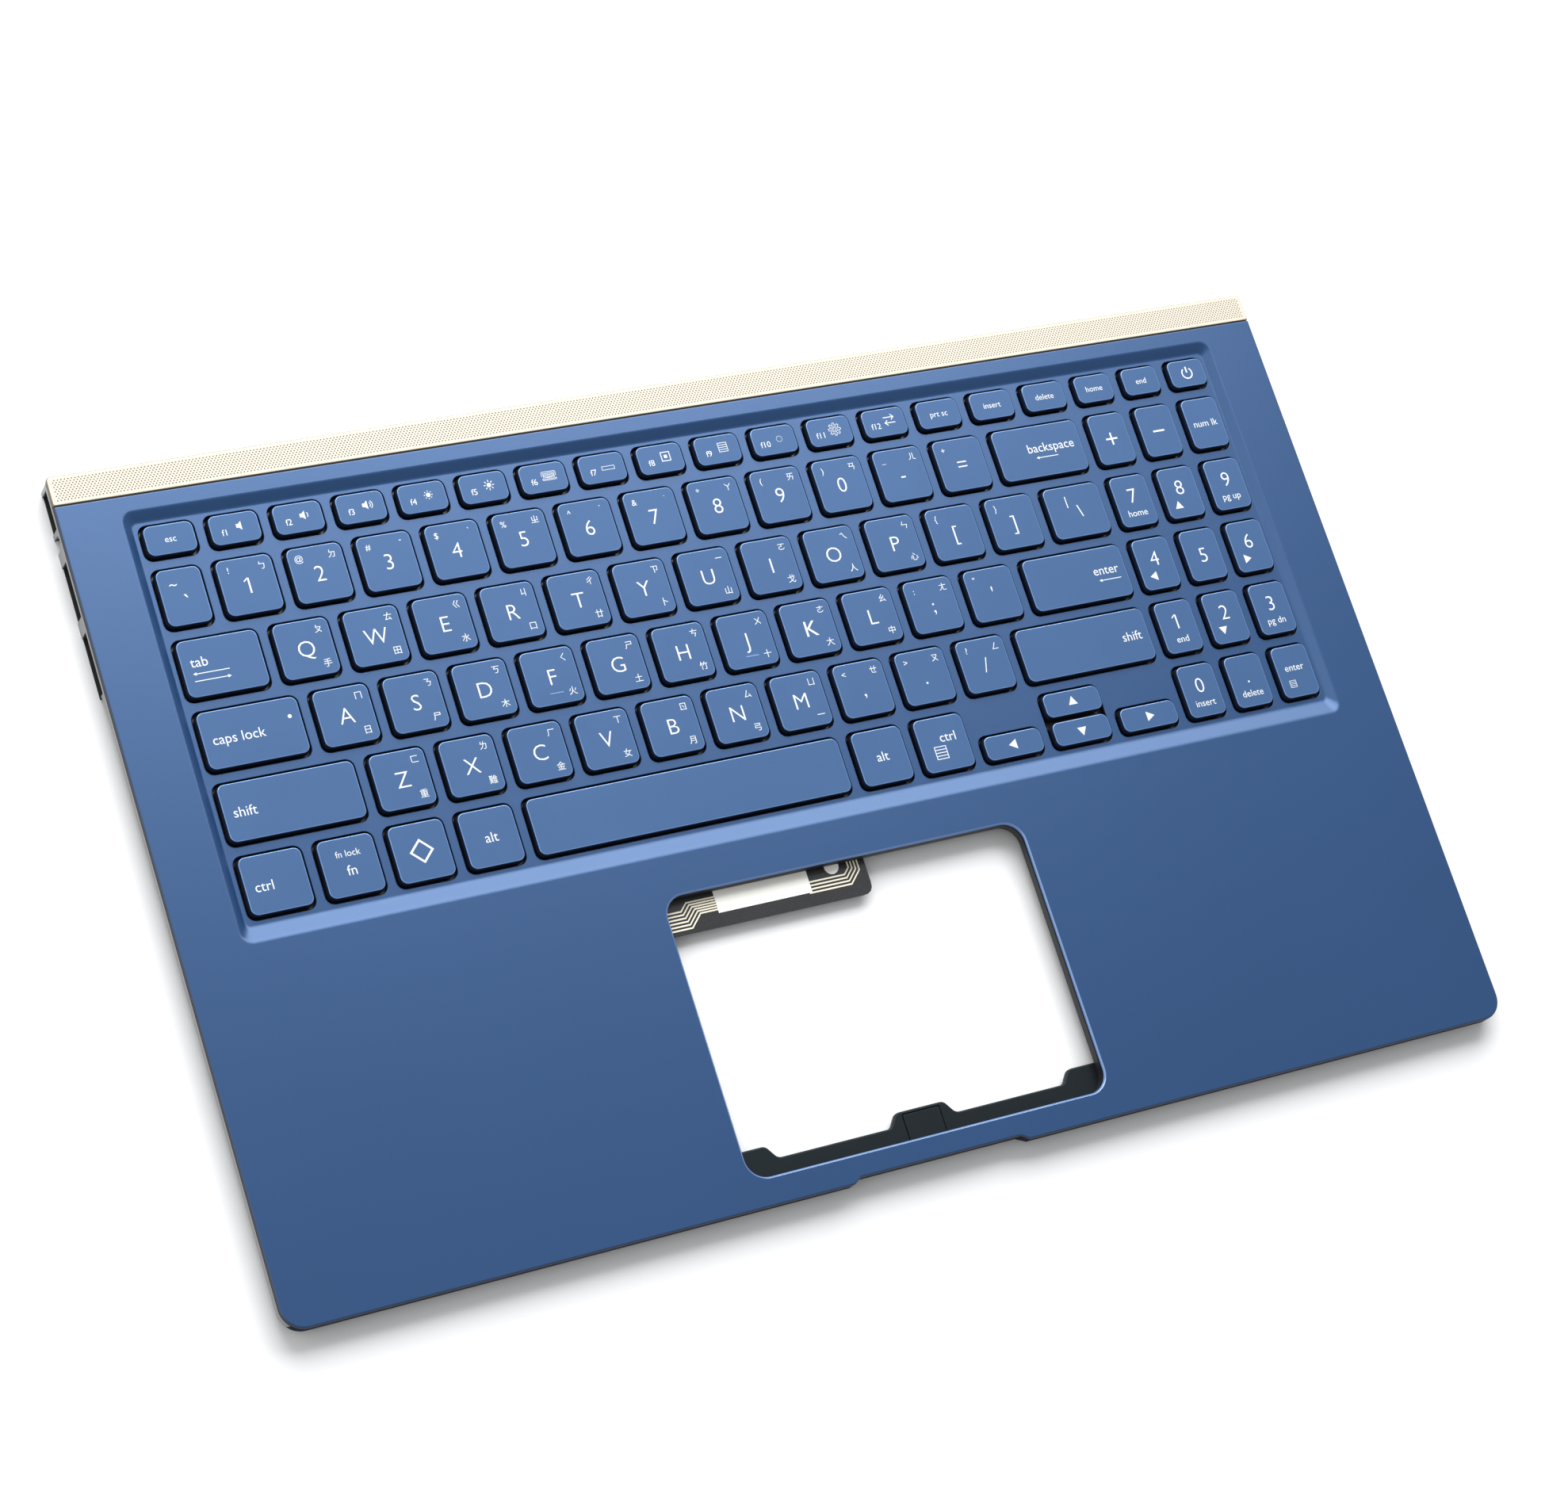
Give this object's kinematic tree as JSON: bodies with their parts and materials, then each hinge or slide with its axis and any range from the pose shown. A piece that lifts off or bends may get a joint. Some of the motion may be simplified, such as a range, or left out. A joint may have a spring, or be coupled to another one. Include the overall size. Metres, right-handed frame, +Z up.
{
  "type": "laptop palm rest",
  "caption": "Top case of a slim notebook: deck with a pierced keyboard well and springy keys, number pad, speaker strip at the rear and an open touchpad window.",
  "frame": {"origin": "below the middle of the deck, on the surface that the part lies on", "axes": "+X to the user's right, +Y to the rear with the speaker strip, +Z up out of the deck"},
  "size_m": [0.354, 0.22, 0.0072],
  "materials": {
    "deck": "satin blue coat",
    "key": "matte blue",
    "strip": "pale gold, fine dots",
    "plate": "plain sheet",
    "film": "printed film",
    "label": "bare white",
    "dome": "soft",
    "bracket": "moulded black",
    "standoff": "turned"
  },
  "bodies": {
    "case": {"top_case": "deck", "speaker_strip": "strip", "key_plate": "plate", "key_membrane": "film", "membrane_label": "label", "rubber_domes": "dome", "plate_rivets": "plate", "touchpad_bracket": "bracket", "bracket_pad": "bracket", "brass_standoffs": "standoff", "function_keys": "key", "number_row_keys": "key", "number_pad_keys": "key", "punctuation_keys": "key"},
    "key_a": {"key_a": "key"},
    "key_arrow_down": {"key_arrow_down": "key"},
    "key_arrow_left": {"key_arrow_left": "key"},
    "key_arrow_right": {"key_arrow_right": "key"},
    "key_arrow_up": {"key_arrow_up": "key"},
    "key_b": {"key_b": "key"},
    "key_backslash": {"key_backslash": "key"},
    "key_backspace": {"key_backspace": "key"},
    "key_backtick": {"key_backtick": "key"},
    "key_c": {"key_c": "key"},
    "key_caps_lock": {"key_caps_lock": "key"},
    "key_d": {"key_d": "key"},
    "key_e": {"key_e": "key"},
    "key_enter": {"key_enter": "key"},
    "key_f": {"key_f": "key"},
    "key_fn": {"key_fn": "key"},
    "key_g": {"key_g": "key"},
    "key_h": {"key_h": "key"},
    "key_i": {"key_i": "key"},
    "key_j": {"key_j": "key"},
    "key_k": {"key_k": "key"},
    "key_l": {"key_l": "key"},
    "key_left_alt": {"key_left_alt": "key"},
    "key_left_ctrl": {"key_left_ctrl": "key"},
    "key_left_shift": {"key_left_shift": "key"},
    "key_m": {"key_m": "key"},
    "key_n": {"key_n": "key"},
    "key_o": {"key_o": "key"},
    "key_p": {"key_p": "key"},
    "key_power": {"key_power": "key"},
    "key_q": {"key_q": "key"},
    "key_r": {"key_r": "key"},
    "key_right_alt": {"key_right_alt": "key"},
    "key_right_ctrl": {"key_right_ctrl": "key"},
    "key_right_shift": {"key_right_shift": "key"},
    "key_s": {"key_s": "key"},
    "key_space": {"key_space": "key"},
    "key_system": {"key_system": "key"},
    "key_t": {"key_t": "key"},
    "key_tab": {"key_tab": "key"},
    "key_u": {"key_u": "key"},
    "key_v": {"key_v": "key"},
    "key_w": {"key_w": "key"},
    "key_x": {"key_x": "key"},
    "key_y": {"key_y": "key"},
    "key_z": {"key_z": "key"}
  },
  "joints": [
    {"name": "press_a", "type": "slide", "parent": "case", "child": "key_a", "axis": [0, 0, -1], "range_m": [0, 0.0014], "stiffness_N_per_m": 300, "springref_m": -0.0015, "deforming": ["rubber_domes"]},
    {"name": "press_arrow_down", "type": "slide", "parent": "case", "child": "key_arrow_down", "axis": [0, 0, -1], "range_m": [0, 0.0014], "stiffness_N_per_m": 300, "springref_m": -0.0015, "deforming": ["rubber_domes"]},
    {"name": "press_arrow_left", "type": "slide", "parent": "case", "child": "key_arrow_left", "axis": [0, 0, -1], "range_m": [0, 0.0014], "stiffness_N_per_m": 300, "springref_m": -0.0015, "deforming": ["rubber_domes"]},
    {"name": "press_arrow_right", "type": "slide", "parent": "case", "child": "key_arrow_right", "axis": [0, 0, -1], "range_m": [0, 0.0014], "stiffness_N_per_m": 300, "springref_m": -0.0015, "deforming": ["rubber_domes"]},
    {"name": "press_arrow_up", "type": "slide", "parent": "case", "child": "key_arrow_up", "axis": [0, 0, -1], "range_m": [0, 0.0014], "stiffness_N_per_m": 300, "springref_m": -0.0015, "deforming": ["rubber_domes"]},
    {"name": "press_b", "type": "slide", "parent": "case", "child": "key_b", "axis": [0, 0, -1], "range_m": [0, 0.0014], "stiffness_N_per_m": 300, "springref_m": -0.0015, "deforming": ["rubber_domes"]},
    {"name": "press_backslash", "type": "slide", "parent": "case", "child": "key_backslash", "axis": [0, 0, -1], "range_m": [0, 0.0014], "stiffness_N_per_m": 300, "springref_m": -0.0015, "deforming": ["rubber_domes"]},
    {"name": "press_backspace", "type": "slide", "parent": "case", "child": "key_backspace", "axis": [0, 0, -1], "range_m": [0, 0.0014], "stiffness_N_per_m": 300, "springref_m": -0.0015, "deforming": ["rubber_domes"]},
    {"name": "press_backtick", "type": "slide", "parent": "case", "child": "key_backtick", "axis": [0, 0, -1], "range_m": [0, 0.0014], "stiffness_N_per_m": 300, "springref_m": -0.0015, "deforming": ["rubber_domes"]},
    {"name": "press_c", "type": "slide", "parent": "case", "child": "key_c", "axis": [0, 0, -1], "range_m": [0, 0.0014], "stiffness_N_per_m": 300, "springref_m": -0.0015, "deforming": ["rubber_domes"]},
    {"name": "press_caps_lock", "type": "slide", "parent": "case", "child": "key_caps_lock", "axis": [0, 0, -1], "range_m": [0, 0.0014], "stiffness_N_per_m": 300, "springref_m": -0.0015, "deforming": ["rubber_domes"]},
    {"name": "press_d", "type": "slide", "parent": "case", "child": "key_d", "axis": [0, 0, -1], "range_m": [0, 0.0014], "stiffness_N_per_m": 300, "springref_m": -0.0015, "deforming": ["rubber_domes"]},
    {"name": "press_e", "type": "slide", "parent": "case", "child": "key_e", "axis": [0, 0, -1], "range_m": [0, 0.0014], "stiffness_N_per_m": 300, "springref_m": -0.0015, "deforming": ["rubber_domes"]},
    {"name": "press_enter", "type": "slide", "parent": "case", "child": "key_enter", "axis": [0, 0, -1], "range_m": [0, 0.0014], "stiffness_N_per_m": 300, "springref_m": -0.0015, "deforming": ["rubber_domes"]},
    {"name": "press_f", "type": "slide", "parent": "case", "child": "key_f", "axis": [0, 0, -1], "range_m": [0, 0.0014], "stiffness_N_per_m": 300, "springref_m": -0.0015, "deforming": ["rubber_domes"]},
    {"name": "press_fn", "type": "slide", "parent": "case", "child": "key_fn", "axis": [0, 0, -1], "range_m": [0, 0.0014], "stiffness_N_per_m": 300, "springref_m": -0.0015, "deforming": ["rubber_domes"]},
    {"name": "press_g", "type": "slide", "parent": "case", "child": "key_g", "axis": [0, 0, -1], "range_m": [0, 0.0014], "stiffness_N_per_m": 300, "springref_m": -0.0015, "deforming": ["rubber_domes"]},
    {"name": "press_h", "type": "slide", "parent": "case", "child": "key_h", "axis": [0, 0, -1], "range_m": [0, 0.0014], "stiffness_N_per_m": 300, "springref_m": -0.0015, "deforming": ["rubber_domes"]},
    {"name": "press_i", "type": "slide", "parent": "case", "child": "key_i", "axis": [0, 0, -1], "range_m": [0, 0.0014], "stiffness_N_per_m": 300, "springref_m": -0.0015, "deforming": ["rubber_domes"]},
    {"name": "press_j", "type": "slide", "parent": "case", "child": "key_j", "axis": [0, 0, -1], "range_m": [0, 0.0014], "stiffness_N_per_m": 300, "springref_m": -0.0015, "deforming": ["rubber_domes"]},
    {"name": "press_k", "type": "slide", "parent": "case", "child": "key_k", "axis": [0, 0, -1], "range_m": [0, 0.0014], "stiffness_N_per_m": 300, "springref_m": -0.0015, "deforming": ["rubber_domes"]},
    {"name": "press_l", "type": "slide", "parent": "case", "child": "key_l", "axis": [0, 0, -1], "range_m": [0, 0.0014], "stiffness_N_per_m": 300, "springref_m": -0.0015, "deforming": ["rubber_domes"]},
    {"name": "press_left_alt", "type": "slide", "parent": "case", "child": "key_left_alt", "axis": [0, 0, -1], "range_m": [0, 0.0014], "stiffness_N_per_m": 300, "springref_m": -0.0015, "deforming": ["rubber_domes"]},
    {"name": "press_left_ctrl", "type": "slide", "parent": "case", "child": "key_left_ctrl", "axis": [0, 0, -1], "range_m": [0, 0.0014], "stiffness_N_per_m": 300, "springref_m": -0.0015, "deforming": ["rubber_domes"]},
    {"name": "press_left_shift", "type": "slide", "parent": "case", "child": "key_left_shift", "axis": [0, 0, -1], "range_m": [0, 0.0014], "stiffness_N_per_m": 300, "springref_m": -0.0015, "deforming": ["rubber_domes"]},
    {"name": "press_m", "type": "slide", "parent": "case", "child": "key_m", "axis": [0, 0, -1], "range_m": [0, 0.0014], "stiffness_N_per_m": 300, "springref_m": -0.0015, "deforming": ["rubber_domes"]},
    {"name": "press_n", "type": "slide", "parent": "case", "child": "key_n", "axis": [0, 0, -1], "range_m": [0, 0.0014], "stiffness_N_per_m": 300, "springref_m": -0.0015, "deforming": ["rubber_domes"]},
    {"name": "press_o", "type": "slide", "parent": "case", "child": "key_o", "axis": [0, 0, -1], "range_m": [0, 0.0014], "stiffness_N_per_m": 300, "springref_m": -0.0015, "deforming": ["rubber_domes"]},
    {"name": "press_p", "type": "slide", "parent": "case", "child": "key_p", "axis": [0, 0, -1], "range_m": [0, 0.0014], "stiffness_N_per_m": 300, "springref_m": -0.0015, "deforming": ["rubber_domes"]},
    {"name": "press_power", "type": "slide", "parent": "case", "child": "key_power", "axis": [0, 0, -1], "range_m": [0, 0.0014], "stiffness_N_per_m": 300, "springref_m": -0.0015, "deforming": ["rubber_domes"]},
    {"name": "press_q", "type": "slide", "parent": "case", "child": "key_q", "axis": [0, 0, -1], "range_m": [0, 0.0014], "stiffness_N_per_m": 300, "springref_m": -0.0015, "deforming": ["rubber_domes"]},
    {"name": "press_r", "type": "slide", "parent": "case", "child": "key_r", "axis": [0, 0, -1], "range_m": [0, 0.0014], "stiffness_N_per_m": 300, "springref_m": -0.0015, "deforming": ["rubber_domes"]},
    {"name": "press_right_alt", "type": "slide", "parent": "case", "child": "key_right_alt", "axis": [0, 0, -1], "range_m": [0, 0.0014], "stiffness_N_per_m": 300, "springref_m": -0.0015, "deforming": ["rubber_domes"]},
    {"name": "press_right_ctrl", "type": "slide", "parent": "case", "child": "key_right_ctrl", "axis": [0, 0, -1], "range_m": [0, 0.0014], "stiffness_N_per_m": 300, "springref_m": -0.0015, "deforming": ["rubber_domes"]},
    {"name": "press_right_shift", "type": "slide", "parent": "case", "child": "key_right_shift", "axis": [0, 0, -1], "range_m": [0, 0.0014], "stiffness_N_per_m": 300, "springref_m": -0.0015, "deforming": ["rubber_domes"]},
    {"name": "press_s", "type": "slide", "parent": "case", "child": "key_s", "axis": [0, 0, -1], "range_m": [0, 0.0014], "stiffness_N_per_m": 300, "springref_m": -0.0015, "deforming": ["rubber_domes"]},
    {"name": "press_space", "type": "slide", "parent": "case", "child": "key_space", "axis": [0, 0, -1], "range_m": [0, 0.0014], "stiffness_N_per_m": 300, "springref_m": -0.0015, "deforming": ["rubber_domes"]},
    {"name": "press_system", "type": "slide", "parent": "case", "child": "key_system", "axis": [0, 0, -1], "range_m": [0, 0.0014], "stiffness_N_per_m": 300, "springref_m": -0.0015, "deforming": ["rubber_domes"]},
    {"name": "press_t", "type": "slide", "parent": "case", "child": "key_t", "axis": [0, 0, -1], "range_m": [0, 0.0014], "stiffness_N_per_m": 300, "springref_m": -0.0015, "deforming": ["rubber_domes"]},
    {"name": "press_tab", "type": "slide", "parent": "case", "child": "key_tab", "axis": [0, 0, -1], "range_m": [0, 0.0014], "stiffness_N_per_m": 300, "springref_m": -0.0015, "deforming": ["rubber_domes"]},
    {"name": "press_u", "type": "slide", "parent": "case", "child": "key_u", "axis": [0, 0, -1], "range_m": [0, 0.0014], "stiffness_N_per_m": 300, "springref_m": -0.0015, "deforming": ["rubber_domes"]},
    {"name": "press_v", "type": "slide", "parent": "case", "child": "key_v", "axis": [0, 0, -1], "range_m": [0, 0.0014], "stiffness_N_per_m": 300, "springref_m": -0.0015, "deforming": ["rubber_domes"]},
    {"name": "press_w", "type": "slide", "parent": "case", "child": "key_w", "axis": [0, 0, -1], "range_m": [0, 0.0014], "stiffness_N_per_m": 300, "springref_m": -0.0015, "deforming": ["rubber_domes"]},
    {"name": "press_x", "type": "slide", "parent": "case", "child": "key_x", "axis": [0, 0, -1], "range_m": [0, 0.0014], "stiffness_N_per_m": 300, "springref_m": -0.0015, "deforming": ["rubber_domes"]},
    {"name": "press_y", "type": "slide", "parent": "case", "child": "key_y", "axis": [0, 0, -1], "range_m": [0, 0.0014], "stiffness_N_per_m": 300, "springref_m": -0.0015, "deforming": ["rubber_domes"]},
    {"name": "press_z", "type": "slide", "parent": "case", "child": "key_z", "axis": [0, 0, -1], "range_m": [0, 0.0014], "stiffness_N_per_m": 300, "springref_m": -0.0015, "deforming": ["rubber_domes"]}
  ]
}
